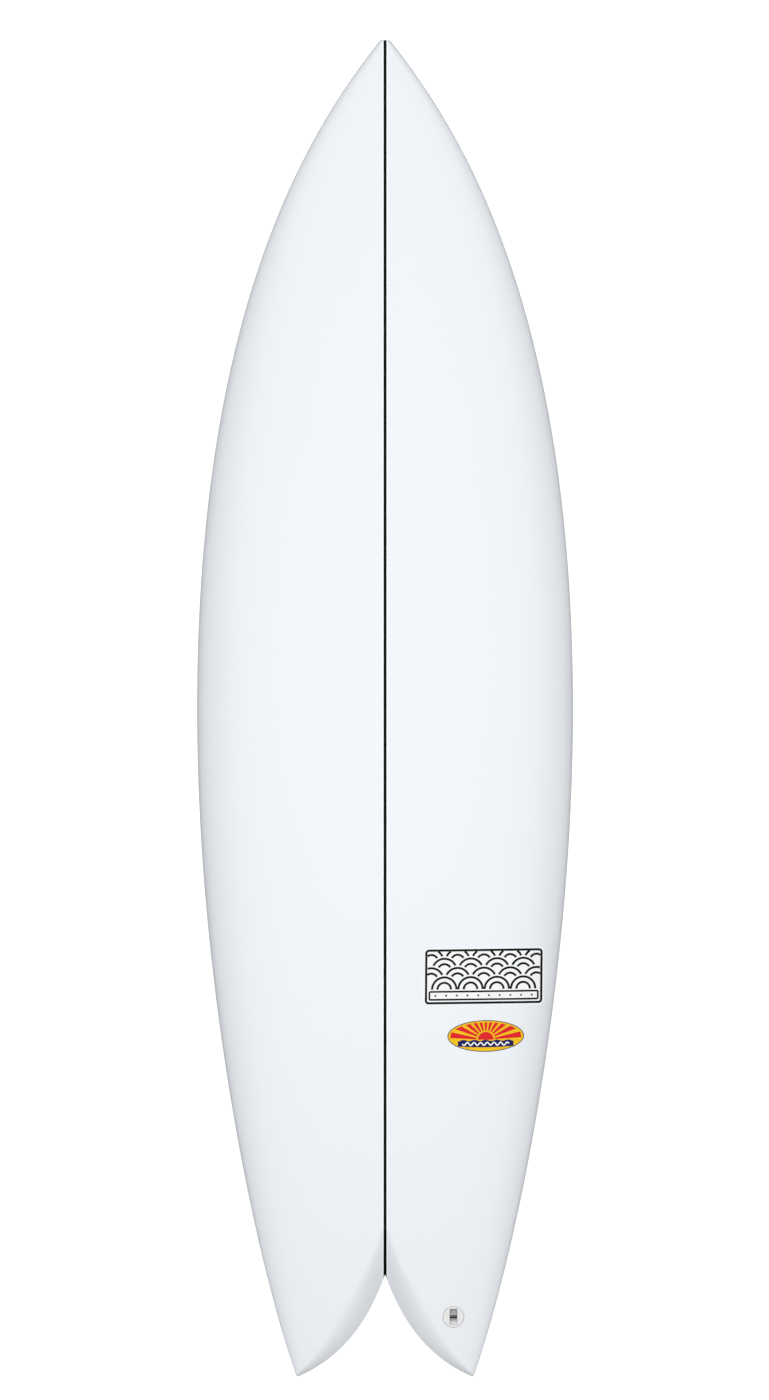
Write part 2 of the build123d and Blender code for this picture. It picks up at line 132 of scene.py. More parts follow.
# The camera looks straight down on the deck from far off
CAMERA_DISTANCE = 44.0
SENSOR = 36.0
FRAME_HEIGHT = 1.8632  # what the frame's long side takes in, at the deck
FRAME_CENTRE = (-0.75, 12.2)  # level x and y at the middle of the frame
FRAME_LEVEL = 62.0  # height at which the frame takes in that much


# ---------------------------------------------------------------- level frame

support = next(m for m in frame["record"]["mounts"] if m["name"] == "bottom_support")
origin = Vector(support["pos_m"])
up = -Vector(support["axis"]).normalized()
right = Vector((1, 0, 0))
ahead = up.cross(right)
LEVEL = Matrix((
    (right.x, ahead.x, up.x, origin.x),
    (right.y, ahead.y, up.y, origin.y),
    (right.z, ahead.z, up.z, origin.z),
    (0, 0, 0, 1),
))


def placed(points):
    """Level points in millimetres, shape (n, 3), as points of the scene in metres."""
    turn = np.array(LEVEL.to_3x3())
    return np.asarray(points) * MM @ turn.T + np.array(origin)


# ---------------------------------------------------------------- shape

def cubic(controls, t):
    """A cubic Bezier's value at t. The four controls may be arrays."""
    s = 1 - t
    a, b, c, d = controls
    return s**3 * a + 3 * s * s * t * b + 3 * s * t * t * c + t**3 * d


def cubic_at(across, controls, value):
    """A cubic Bezier's second coordinate where its first, which never turns back, has that value."""
    low, high = np.zeros_like(value), np.ones_like(value)
    rising = across[3] > across[0]
    for _ in range(42):
        middle = (low + high) / 2
        below = (cubic(across, middle) < value) == rising
        low, high = np.where(below, middle, low), np.where(below, high, middle)
    return cubic(controls, (low + high) / 2)


def half_width(y):
    """Half the width of the outline."""
    nose = cubic_at(*[[p[i] for p in NOSE_OUTLINE] for i in (1, 0)], np.maximum(y, 0.0))
    tail = cubic_at(*[[p[i] for p in TAIL_OUTLINE] for i in (1, 0)], np.minimum(y, 0.0))
    return np.where(y > 0, nose, tail)


def notch_x(y):
    """Inner edge of the lobe: 0 ahead of the apex."""
    inside = np.minimum(y, NOTCH_Y)
    return cubic_at(*[[p[i] for p in NOTCH_OUTLINE] for i in (1, 0)], inside)


def thickness(y):
    """Thickness along the stringer."""
    nose = (y - THICK_Y) / (NOSE_Y - THICK_Y)
    tail = (THICK_Y - y) / (THICK_Y - TAIL_Y)
    share = np.where(y > THICK_Y, nose, tail)
    end = np.where(y > THICK_Y, NOSE_THICKNESS, TAIL_THICKNESS)
    return end + (THICKNESS - end) * (1 - share**2)


def rocker(y):
    """Height of the underside along the stringer."""
    nose = np.maximum(y - FLAT_Y, 0) / (NOSE_Y - FLAT_Y)
    tail = np.maximum(FLAT_Y - y, 0) / (FLAT_Y - TAIL_Y)
    return CLEARANCE + NOSE_ROCKER * nose**NOSE_POWER + TAIL_ROCKER * tail**TAIL_POWER


def rail_lift(y):
    """How far the bottom's edge is above its middle: below it where the bottom is concave."""
    nose = CONCAVE + (ENTRY_ROLL - CONCAVE) * np.maximum(y / NOSE_Y, 0) ** ENTRY_POWER
    tail = CONCAVE + (TAIL_VEE - CONCAVE) * (y / TAIL_Y) ** 2
    return np.where(y > 0, nose, tail)


def section(y, inset=0.0):
    """Widths and heights that the cross-section's curves are made from."""
    plan = half_width(y)
    width = plan - inset
    bottom = rocker(y) + inset
    top = rocker(y) + thickness(y) - inset
    edge = rocker(y) + rail_lift(y) * np.minimum(1.0, plan / TAIL_HALF) + inset
    apex = edge + APEX_SHARE * (top - edge)
    tuck = np.minimum(TUCK_TAIL + TUCK_GAIN * (y - TAIL_Y) / LENGTH, TUCK_LIMIT * plan)
    return width, bottom, top, edge, apex, tuck


def deck_height(x, y, inset=0.0):
    """Height of the deck, with the roll of the notch left out."""
    width, _, top, _, apex, _ = section(y, inset)
    rise = [apex, apex + RAIL_FULLNESS * (top - apex), top, top]
    return cubic_at([width, width, DECK_FLATNESS * width, 0 * width], rise, np.minimum(x, width))


def bottom_height(x, y, inset=0.0):
    """Height of the underside, out to the rail's widest line."""
    width, bottom, _, edge, apex, tuck = section(y, inset)
    inner = width - tuck
    flat = [0 * width, FLAT_NEAR * width, FLAT_FAR * inner, inner]
    turned = [inner, inner + TUCK_REACH * tuck, width, width]
    flat_height = cubic_at(flat, [bottom, bottom, edge, edge], np.minimum(x, inner))
    rise = [edge, edge, edge + TUCK_CLIMB * (apex - edge), apex]
    turned_height = cubic_at(turned, rise, np.clip(x, inner, width))
    return np.where(x < inner, flat_height, turned_height)


# The roll is described at samples of the notch edge, run on straight past the apex and the tip.
samples = np.linspace(0, 1, EDGE_SAMPLES)
shares = np.concatenate([np.zeros(LEAD_SAMPLES), samples, np.ones(FOLLOW_SAMPLES)])
runs = np.concatenate([
    np.linspace(-ROLL_LEAD, -0.2, LEAD_SAMPLES),
    0 * samples,
    np.linspace(0.2, ROLL_FOLLOW, FOLLOW_SAMPLES),
])
notch_controls = np.array(NOTCH_OUTLINE)
edge_point = np.array([cubic(notch_controls[:, i], shares) for i in (0, 1)]).T
step_ahead = np.array([cubic(notch_controls[:, i], np.minimum(shares + 0.01, 1)) for i in (0, 1)]).T
step_back = np.array([cubic(notch_controls[:, i], np.maximum(shares - 0.01, 0)) for i in (0, 1)]).T
along = step_ahead - step_back
along /= np.linalg.norm(along, axis=1)[:, None]
inward = np.stack([-along[:, 1], along[:, 0]], 1)
foot = edge_point + along * runs[:, None]
roll_width = APEX_ROLL * (1 - shares) + TIP_ROLL * shares + 4 * MIDDLE_ROLL * shares * (1 - shares)


def clipped(points, surface):
    """Height of that surface at points of the plan, pulled in to where the board is."""
    return surface(np.maximum(points[:, 0], 0), np.maximum(points[:, 1], TAIL_Y))


roll_deck = clipped(foot + inward * roll_width[:, None], deck_height)
roll_half = clipped(foot + inward * roll_width[:, None] / 2, deck_height)
roll_slope = 2 * (roll_deck - roll_half) / roll_width + ROLL_EXIT_SLOPE
roll_floor = clipped(foot, bottom_height)
roll_wall = roll_floor + ROLL_START * (roll_deck - roll_floor)
roll_lip = roll_deck + ROLL_EXIT


def rolled(x, y, deck):
    """The deck's height with the notch's rolled edge taken off."""
    if y.min() > NOTCH_Y + ROLL_LEAD:
        return deck
    points = np.stack([np.broadcast_to(values, deck.shape).ravel() for values in (x, y)], 1)
    result = deck.ravel().copy()
    near = np.flatnonzero(points[:, 1] < NOTCH_Y + ROLL_LEAD)
    for part in np.array_split(near, max(1, len(near) // 2000)):
        away = np.linalg.norm(points[part, None, :] - foot[None, :, :], axis=2)
        at = away.argmin(1)
        distance = np.abs(((points[part] - foot[at]) * inward[at]).sum(1))
        width, wall, lip, slope = roll_width[at], roll_wall[at], roll_lip[at], roll_slope[at]
        short = np.maximum(width - distance, 0) / width
        height = lip + (distance - width) * slope - (lip - width * slope - wall) * short**2
        low = np.minimum(height, result[part])
        gap = np.abs(height - result[part])
        result[part] = low - ROLL_BLEND * np.log1p(np.exp(-gap / ROLL_BLEND))
    return result.reshape(deck.shape)


# ---------------------------------------------------------------- meshes

def clean(mesh, merge):
    """Joins doubled points, drops faces without area and turns the faces outward."""
    work = bmesh.new()
    work.from_mesh(mesh)
    bmesh.ops.remove_doubles(work, verts=work.verts, dist=merge)
    bmesh.ops.dissolve_degenerate(work, edges=work.edges, dist=merge)
    bmesh.ops.recalc_face_normals(work, faces=work.faces)
    if work.calc_volume(signed=True) < 0:
        bmesh.ops.reverse_faces(work, faces=work.faces)
    work.to_mesh(mesh)
    work.free()


def finished(name, mesh, body, sharp, merge=1e-6):
    """The mesh as a smooth piece that rides on the body, creased where it bends by that angle."""
    clean(mesh, merge)
    mesh.shade_smooth()
    mesh.set_sharp_from_angle(angle=sharp)
    piece = bpy.data.objects.new(name, mesh)
    bpy.context.scene.collection.objects.link(piece)
    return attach(piece, body)


def grid_faces(index):
    """Quads of a grid of vertex numbers."""
    a, b, c, d = index[:-1, :-1], index[1:, :-1], index[1:, 1:], index[:-1, 1:]
    return np.stack([a, b, c, d], -1).reshape(-1, 4)


def spaced(low, high, step):
    """Even stations from low to high, about a step apart."""
    return np.linspace(low, high, int(round((high - low) / step)) + 1)


def spread(columns):
    """Shares from 0 to 1, closer together at both ends."""
    share = np.linspace(0, 1, columns + 1)
    return 0.8 * (1 - np.cos(pi * share)) / 2 + 0.2 * share


def skin_rows():
    """Stations of the skin, tail to nose, and how much each is shrunk to round the nose tip."""
    cap_start = NOSE_Y - NOSE_CAP
    first = TAIL_Y + TIP_CUT
    tail = first + (NOTCH_Y - first) * np.linspace(0, 1, LOBE_ROWS) ** LOBE_GATHER
    roll = spaced(NOTCH_Y, NOTCH_Y + ROLL_LEAD, ROLL_STEP)[1:]
    main = spaced(NOTCH_Y + ROLL_LEAD, FINE_NOSE_Y, MAIN_STEP)[1:]
    nose = spaced(FINE_NOSE_Y, cap_start, NOSE_STEP)[1:]
    turn = np.linspace(0, pi / 2, CAP_ROWS + 1)[1:]
    cap = cap_start + NOSE_CAP * np.sin(turn)
    inset = np.concatenate([0 * tail, 0 * roll, 0 * main, 0 * nose, NOSE_CAP * (1 - np.cos(turn))])
    return np.concatenate([tail, roll, main, nose, cap]), inset


def skin_mesh():
    """The whole glassed board as one closed surface, without its pockets."""
    y, inset = skin_rows()
    y, inset = y[:, None], inset[:, None]
    width = half_width(y) - inset
    start = notch_x(y)
    deck_x = start + (width - start) * spread(DECK_COLUMNS)[None, :]
    bottom_x = start + (width - start) * spread(BOTTOM_COLUMNS)[None, :]
    deck_z = rolled(deck_x, y + 0 * deck_x, deck_height(deck_x, y + 0 * deck_x, inset + 0 * deck_x))
    bottom_z = bottom_height(bottom_x, y + 0 * bottom_x, inset + 0 * bottom_x)
    rail = section(y, inset)[4][:, 0]
    deck_z[:, -1] = rail
    bottom_z[:, -1] = rail
    deck_z = np.maximum(deck_z, bottom_height(deck_x, y + 0 * deck_x, inset + 0 * deck_x))
    bottom = np.stack([bottom_x, y + 0 * bottom_x, bottom_z], -1)
    deck = np.stack([deck_x, y + 0 * deck_x, deck_z], -1)
    lobe_rows = int((y[:, 0] <= NOTCH_Y + 1e-6).sum())
    climb = np.linspace(0, 1, WALL_ROWS + 1)[None, :, None]
    wall = bottom[:lobe_rows, :1] * (1 - climb) + deck[:lobe_rows, :1] * climb
    points, faces = [], []
    count = 0
    for side in (1, -1):
        for sheet in (deck, bottom, wall):
            index = np.arange(sheet.shape[0] * sheet.shape[1]).reshape(sheet.shape[:2]) + count
            faces.append(grid_faces(index))
            points.append((sheet * (side, 1, 1)).reshape(-1, 3))
            count += index.size
    nose = np.concatenate([deck[-1], bottom[-1, -2::-1]])
    nose = np.concatenate([nose, nose[-2:0:-1] * (-1, 1, 1)])
    lobe = np.concatenate([deck[0], bottom[0, -2::-1], wall[0, 1:-1]])
    ends = []
    for end in (nose, lobe, lobe * (-1, 1, 1)):
        ends.append(list(range(count, count + len(end))))
        points.append(end)
        count += len(end)
    quads = [face.tolist() for group in faces for face in group]
    return np.concatenate(points), quads + ends


def frame_matrix(place, x_axis, z_axis):
    """Matrix of a local frame from its origin, a rough x axis and its z axis."""
    z = Vector(z_axis).normalized()
    y = z.cross(Vector(x_axis)).normalized()
    x = y.cross(z)
    return Matrix((
        (x.x, y.x, z.x, place.x),
        (x.y, y.y, z.y, place.y),
        (x.z, y.z, z.z, place.z),
        (0, 0, 0, 1),
    ))


joints = {j["name"]: j for j in frame["joints"]}
mounts = {m["name"]: m for m in frame["record"]["mounts"]}


# Each fin plug's frame: x forward, z down and out along the fin. Its grub screw's axis meets the
# tab slot's wall on the inboard side, that far from the middle and that deep.
SCREW_AIM_SIDE = 3.25
SCREW_AIM_DEPTH = 8.5
SIDES = {"left": -1, "right": 1}
PLACES = ("front", "rear")
fin_frames, plug_frames = {}, {}
for side, sign in SIDES.items():
    aims = [Vector(joints[f"grub_screw_{side}_{place}_turn"]["pos_m"]) for place in PLACES]
    turn = frame_matrix(Vector(), aims[0] - aims[1], joints[f"fin_{side}_slide"]["axis"])
    shift = turn @ Vector((0, sign * SCREW_AIM_SIDE * MM, SCREW_AIM_DEPTH * MM))
    for place, aim in zip(PLACES, aims):
        plug_frames[side, place] = Matrix.Translation(aim + shift) @ turn
    fin_frames[side] = Matrix.Translation((aims[0] + aims[1]) / 2 + shift) @ turn

# The leash plug's frame is at the middle of its face, above the pin.
LEASH_PIN_DEPTH = 3.1
pin_mount = mounts["leash_pin_anchor"]
leash_up = Vector(pin_mount["axis"])
leash_face = Vector(pin_mount["pos_m"]) + leash_up * LEASH_PIN_DEPTH * MM
leash_frame = frame_matrix(leash_face, (1, 0, 0), leash_up)


def pocket_cutter():
    """The cylinders of all the plug pockets, as one object."""
    cuts = [(plane, *FIN_POCKET) for plane in plug_frames.values()] + [(leash_frame, *LEASH_POCKET)]
    work = bmesh.new()
    proud = 8.0
    for plane, radius, depth in cuts:
        bmesh.ops.create_cone(
            work, cap_ends=True, segments=POCKET_SEGMENTS,
            radius1=(radius + POCKET_GAP) * MM, radius2=(radius + POCKET_GAP) * MM,
            depth=(proud + depth) * MM,
            matrix=plane @ Matrix.Translation((0, 0, (proud - depth) / 2 * MM)),
        )
    mesh = bpy.data.meshes.new("pocket_cutter")
    work.to_mesh(mesh)
    work.free()
    cutter = bpy.data.objects.new("pocket_cutter", mesh)
    bpy.context.scene.collection.objects.link(cutter)
    return cutter


def pocketed(name, mesh):
    """The mesh with the plug pockets cut out of it."""
    body = bpy.data.objects.new(name, mesh)
    bpy.context.scene.collection.objects.link(body)
    cutter = pocket_cutter()
    cut = body.modifiers.new("pockets", "BOOLEAN")
    cut.operation = "DIFFERENCE"
    cut.solver = "EXACT"
    cut.object = cutter
    graph = bpy.context.evaluated_depsgraph_get()
    result = bpy.data.meshes.new_from_object(body.evaluated_get(graph))
    bpy.data.objects.remove(body)
    bpy.data.objects.remove(cutter)
    return result


def skin_attributes(mesh):
    """Where each point of the skin is: on the underside or not, and how far in from the outline."""
    points = np.zeros(len(mesh.vertices) * 3)
    mesh.vertices.foreach_get("co", points)
    turn = np.array(LEVEL.to_3x3())
    level = (points.reshape(-1, 3) - np.array(origin)) @ turn / MM
    x, y, z = np.abs(level[:, 0]), np.clip(level[:, 1], TAIL_Y, NOSE_Y), level[:, 2]
    under = (z < section(y)[4] - 0.01) & (z - bottom_height(x, y) < 3)
    t = np.linspace(0, 1, RIM_SAMPLES)
    rim = []
    for outline in (NOSE_OUTLINE, TAIL_OUTLINE, NOTCH_OUTLINE):
        controls = np.array(outline)
        rim.append(np.stack([cubic(controls[:, 0], t), cubic(controls[:, 1], t)], 1))
    rim = np.concatenate(rim + [np.array([[i, NOSE_Y] for i in range(6)])])
    inset = np.full(len(x), 200.0)
    chosen = np.flatnonzero(under)
    for part in np.array_split(chosen, max(1, len(chosen) // 4000)):
        away = np.linalg.norm(np.stack([x[part], y[part]], 1)[:, None] - rim[None], axis=2)
        inset[part] = away.min(1)
    for label, values in (("underside", under.astype(np.float32)), ("rail_inset", inset * MM)):
        attribute = mesh.attributes.new(label, "FLOAT", "POINT")
        attribute.data.foreach_set("value", values.astype(np.float32))


points, faces = skin_mesh()
shell = bpy.data.meshes.new("board_skin")
shell.from_pydata(placed(points).tolist(), [], faces)
clean(shell, merge=2e-6)
skin = finished("board_skin", pocketed("board_skin", shell), "board", radians(35))
skin_attributes(skin.data)
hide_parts("deck_laminate", "bottom_laminate")


# ---------------------------------------------------------------- printed patches

PRINT_HEIGHT = 0.10  # top of a print's ground above the deck glass
INK_HEIGHT = 0.16  # top of the ink on it
PRINT_ROOT = -0.30  # how far a print is sunk in the glass


def on_deck(points, centre, height):
    """Level points of a print's own plane points, lying that far above the deck."""
    points = np.asarray(points, float)
    u, v = points[..., 0] + points[..., 1] * DECAL_LEAN, points[..., 1]
    x = centre[0] + u * cos(DECAL_TURN) - v * sin(DECAL_TURN)
    y = centre[1] + u * sin(DECAL_TURN) + v * cos(DECAL_TURN)
    return np.stack([x, y, deck_height(x, y) + height], -1)


class Print:
    """A printed patch, gathered from closed thin layers that follow the deck."""

    def __init__(self, name, centre):
        self.name, self.centre = name, centre
        self.points, self.faces, self.inks = [], [], []
        self.count = 0
        self.materials = []

    def _add(self, points, faces, ink):
        if ink not in self.materials:
            self.materials.append(ink)
        self.points.append(points.reshape(-1, 3))
        self.faces += [[i + self.count for i in face] for face in faces]
        self.inks += [self.materials.index(ink)] * len(faces)
        self.count += len(self.points[-1])

    def patch(self, grid, ink, top=INK_HEIGHT):
        """A filled shape from a grid of plane points, rows by columns."""
        rows, columns = grid.shape[:2]
        upper = on_deck(grid, self.centre, top)
        lower = on_deck(grid, self.centre, PRINT_ROOT)
        index = np.arange(rows * columns).reshape(rows, columns)
        size = rows * columns
        faces = grid_faces(index).tolist() + grid_faces(index + size)[:, ::-1].tolist()
        rim = np.concatenate([index[0], index[1:, -1], index[-1, -2::-1], index[-2:0:-1, 0]])
        for a, b in zip(rim, np.roll(rim, -1)):
            faces.append([int(a), int(b), int(b + size), int(a + size)])
        self._add(np.stack([upper, lower]), faces, ink)

    def line(self, path, width, ink, closed=False, top=INK_HEIGHT):
        """A line of ink of that width along a path in the plane."""
        path = np.asarray(path, float)
        if closed:
            ahead, behind = np.roll(path, -1, 0), np.roll(path, 1, 0)
        else:
            ahead, behind = np.vstack([path[1:], path[-1:]]), np.vstack([path[:1], path[:-1]])
        tangent = ahead - behind
        tangent /= np.linalg.norm(tangent, axis=1)[:, None]
        side = np.stack([-tangent[:, 1], tangent[:, 0]], 1) * width / 2
        left, right_edge = path + side, path - side
        rings = np.stack([
            on_deck(left, self.centre, top),
            on_deck(right_edge, self.centre, top),
            on_deck(right_edge, self.centre, PRINT_ROOT),
            on_deck(left, self.centre, PRINT_ROOT),
        ], 1)
        count = len(path)
        faces = []
        for i in range(count if closed else count - 1):
            j = (i + 1) % count
            for a in range(4):
                b = (a + 1) % 4
                faces.append([4 * i + a, 4 * i + b, 4 * j + b, 4 * j + a])
        if not closed:
            faces += [[3, 2, 1, 0], [4 * count - 4, 4 * count - 3, 4 * count - 2, 4 * count - 1]]
        self._add(rings, faces, ink)

    def piece(self):
        """The finished piece, riding on the board."""
        mesh = bpy.data.meshes.new(self.name)
        mesh.from_pydata(placed(np.concatenate(self.points)).tolist(), [], self.faces)
        for material in self.materials:
            mesh.materials.append(material)
        mesh.polygons.foreach_set("material_index", self.inks)
        return finished(self.name, mesh, "board", radians(30), merge=1e-7)


def arc(centre, radius, start, end, step=2.0):
    """Points of a circular arc, angles in degrees."""
    count = max(4, int(abs(end - start) / 180 * pi * radius / step))
    angle = np.radians(np.linspace(start, end, count + 1))
    return np.stack([centre[0] + radius * np.cos(angle), centre[1] + radius * np.sin(angle)], 1)


def rounded_rectangle(half_u, half_v, corner):
    """Closed path of a rounded rectangle, anticlockwise, with points along its straight sides."""
    centres = [(half_u - corner, half_v - corner), (corner - half_u, half_v - corner),
               (corner - half_u, corner - half_v), (half_u - corner, corner - half_v)]
    path = []
    for i, centre in enumerate(centres):
        bend = arc(centre, corner, 90 * i, 90 * i + 90, 0.5)
        following = arc(centres[(i + 1) % 4], corner, 90 * i + 90, 90 * i + 180, 0.5)[0]
        gap = np.linalg.norm(following - bend[-1])
        run = np.linspace(bend[-1], following, max(2, int(gap / 4)) + 1)[1:-1]
        path += [bend, run]
    return np.concatenate(path)


def rounded_grid(half_u, half_v, corner, columns=40):
    """Grid of plane points that fills a rounded rectangle."""
    bend = np.linspace(0, pi / 2, 7)
    ends = half_v - corner + corner * np.sin(bend)
    v = np.concatenate([-ends[::-1], np.linspace(corner - half_v, half_v - corner, 19)[1:-1], ends])
    over = np.clip(np.abs(v) - (half_v - corner), 0, corner)
    reach = half_u - corner + np.sqrt(np.maximum(corner**2 - over**2, 0))
    u = reach[:, None] * np.linspace(-1, 1, columns + 1)[None]
    return np.stack([u, v[:, None] + 0 * u], -1)


def oval_grid(half_u, half_v, rows, columns):
    """Grid of plane points that fills an oval."""
    v = half_v * np.sin(np.linspace(-pi / 2, pi / 2, rows + 2)[1:-1])
    reach = half_u * np.sqrt(1 - (v / half_v) ** 2)
    u = reach[:, None] * np.linspace(-1, 1, columns + 1)[None]
    return np.stack([u, v[:, None] + 0 * u], -1)


def between(lower, upper, rows):
    """Grid of plane points between two paths of as many points."""
    share = np.linspace(0, 1, rows + 1)[:, None, None]
    return lower[None] * (1 - share) + upper[None] * share


# ---------------------------------------------------------------- materials

def add(tree, kind, inputs=None, **settings):
    """A shader node with its settings and inputs. An input is a value or another node's output."""
    node = tree.nodes.new(kind)
    for key, value in settings.items():
        setattr(node, key, value)
    for key, value in (inputs or {}).items():
        if isinstance(value, bpy.types.NodeSocket):
            tree.links.new(value, node.inputs[key])
        else:
            node.inputs[key].default_value = value
    return node


def maths(tree, operation, a, b=0.0, c=0.0):
    """The output of a Math node."""
    return add(tree, "ShaderNodeMath", {0: a, 1: b, 2: c}, operation=operation).outputs[0]


def mix(tree, share, a, b):
    """Colour a where share is 0, and b where it is 1."""
    node = add(tree, "ShaderNodeMix", data_type="RGBA")
    for socket, value in ((node.inputs[0], share), (node.inputs[6], a), (node.inputs[7], b)):
        if isinstance(value, bpy.types.NodeSocket):
            tree.links.new(value, socket)
        else:
            socket.default_value = value
    return node.outputs[2]


def ramp(tree, value, low, high, start=0.0, end=1.0):
    """Goes smoothly from start to end as value goes from low to high."""
    node = add(
        tree, "ShaderNodeMapRange",
        {"Value": value, "From Min": low, "From Max": high, "To Min": start, "To Max": end},
        interpolation_type="SMOOTHSTEP",
    )
    return node.outputs["Result"]


def local_coordinates(tree, matrix):
    """Coordinates of the shaded point in that frame, in metres."""
    place = add(tree, "ShaderNodeTexCoord").outputs["Object"]
    mapping = add(tree, "ShaderNodeMapping", {"Vector": place}, vector_type="TEXTURE")
    mapping.inputs["Location"].default_value = matrix.translation
    mapping.inputs["Rotation"].default_value = matrix.to_euler("XYZ")
    return mapping.outputs[0]


def noise(tree, vector, scale, detail):
    """Soft noise of about that many patches to the metre, from 0 to 1."""
    inputs = {"Vector": vector, "Scale": scale, "Detail": detail}
    return add(tree, "ShaderNodeTexNoise", inputs).outputs["Fac"]


def bumped(tree, height, distance, onto=None):
    """A normal raised by that height, 0 to 1, times the distance in metres."""
    inputs = {"Height": height, "Distance": distance}
    if onto is not None:
        inputs["Normal"] = onto
    return add(tree, "ShaderNodeBump", inputs).outputs[0]


def shader(name, **constants):
    """A new material, its node tree and its Principled shader, with those values on its sockets."""
    material = bpy.data.materials.new(name)
    material.use_nodes = True
    tree = material.node_tree
    surface = tree.nodes["Principled BSDF"]
    for key, value in constants.items():
        surface.inputs[key.replace("_", " ").title().replace("Ior", "IOR")].default_value = value
    return material, tree, surface


def rgba(r, g, b):
    """An opaque colour."""
    return (r, g, b, 1.0)


def plug_in(tree, surface, colour, roughness, normal):
    """Links those outputs into the shader."""
    for key, value in (("Base Color", colour), ("Roughness", roughness), ("Normal", normal)):
        tree.links.new(value, surface.inputs[key])


def weave(tree, vector, pitch):
    """Plain weave of that pitch in metres, as a height from 0 to 1."""
    apart = add(tree, "ShaderNodeSeparateXYZ", {0: vector})
    waves = [maths(tree, "SINE", maths(tree, "MULTIPLY", apart.outputs[i], pi / pitch)) for i in (0, 1)]
    product = maths(tree, "MULTIPLY", *waves)
    return maths(tree, "MULTIPLY_ADD", product, 0.5, 0.5)


# How the glass reads over the foam, the glue lines and the stringer
GLASS_WHITE = rgba(0.857, 0.890, 0.930)
GLASS_SHADE = rgba(0.852, 0.886, 0.927)
GLUE_WHITE = rgba(0.955, 0.985, 0.990)
STRINGER_BLACK = rgba(0.0022, 0.0022, 0.0025)
CLOTH_PITCH = 0.9 * MM


def glass_material():
    """Clear glossy glass over white foam, with the stringer and its glue lines showing through."""
    material, tree, surface = shader("glass_over_foam", roughness=0.42, specular_ior_level=0.0,
                                     coat_weight=0.8, coat_roughness=0.36)
    place = local_coordinates(tree, LEVEL)
    apart = add(tree, "ShaderNodeSeparateXYZ", {0: place})
    across = maths(tree, "ABSOLUTE", apart.outputs[0])
    soft = 0.15 * MM
    stringer_edge, glue_edge = STRINGER_SEEN / 2 * MM, (STRINGER / 2 + GLUE_LINE) * MM
    # faint unevenness of the foam, and the cloth over it
    mottle = noise(tree, place, 7.0, 4.0)
    cells = noise(tree, place, 900.0, 2.0)
    cloth = weave(tree, place, CLOTH_PITCH)
    tone = maths(tree, "MULTIPLY_ADD", mottle, 0.7, maths(tree, "MULTIPLY", cells, 0.3))
    foam = mix(tree, ramp(tree, tone, 0.30, 0.75), GLASS_WHITE, GLASS_SHADE)
    foam = mix(tree, maths(tree, "MULTIPLY", cloth, 0.2), foam, GLASS_SHADE)
    # the lap of the deck glass under the bottom: doubled cloth up to its cut edge
    under = add(tree, "ShaderNodeAttribute", attribute_name="underside").outputs["Fac"]
    inset = add(tree, "ShaderNodeAttribute", attribute_name="rail_inset").outputs["Fac"]
    lapped = maths(tree, "MULTIPLY", under, ramp(tree, inset, (LAP - 0.6) * MM, LAP * MM, 1.0, 0.0))
    edge = maths(tree, "MULTIPLY", ramp(tree, inset, (LAP - 2.0) * MM, LAP * MM), lapped)
    foam = mix(tree, maths(tree, "MULTIPLY", lapped, 0.35), foam, rgba(0.80, 0.85, 0.87))
    foam = mix(tree, maths(tree, "MULTIPLY", edge, 0.5), foam, rgba(0.72, 0.78, 0.80))
    # glue lines, and the black stringer with its grain
    glue = ramp(tree, across, glue_edge - soft, glue_edge + soft, 1.0, 0.0)
    colour = mix(tree, glue, foam, GLUE_WHITE)
    stretched = add(tree, "ShaderNodeMapping", {"Vector": place, "Scale": (1.0, 0.03, 1.0)}).outputs[0]
    grain = noise(tree, stretched, 1400.0, 3.0)
    wood = mix(tree, grain, STRINGER_BLACK, rgba(0.0032, 0.0031, 0.0031))
    black = ramp(tree, across, stringer_edge - soft, stringer_edge + soft, 1.0, 0.0)
    colour = mix(tree, black, colour, wood)
    # resin: a slow roll of the surface, a trace of the cloth, and polish that isn't quite even
    roll = noise(tree, place, 9.0, 2.0)
    normal = bumped(tree, roll, 0.00006)
    normal = bumped(tree, cloth, 0.000003, onto=normal)
    polish = ramp(tree, noise(tree, place, 40.0, 4.0), 0.3, 0.7, 0.38, 0.45)
    plug_in(tree, surface, colour, polish, normal)
    tree.links.new(normal, surface.inputs["Coat Normal"])
    tree.links.new(ramp(tree, black, 0.0, 1.0, 0.8, 0.06), surface.inputs["Coat Weight"])
    return material


def ink_material(name, colour, faded):
    """Printed ink under a skim of clear resin."""
    material, tree, surface = shader(name, roughness=0.42, specular_ior_level=0.0,
                                     coat_weight=0.08, coat_roughness=0.30)
    place = local_coordinates(tree, LEVEL)
    dots = noise(tree, place, 1500.0, 2.0)
    patches = noise(tree, place, 60.0, 3.0)
    both = maths(tree, "MULTIPLY_ADD", dots, 0.5, maths(tree, "MULTIPLY", patches, 0.5))
    tone = mix(tree, ramp(tree, both, 0.35, 0.7), colour, faded)
    normal = bumped(tree, weave(tree, place, CLOTH_PITCH), 0.000004)
    plug_in(tree, surface, tone, ramp(tree, patches, 0.3, 0.7, 0.38, 0.46), normal)
    return material


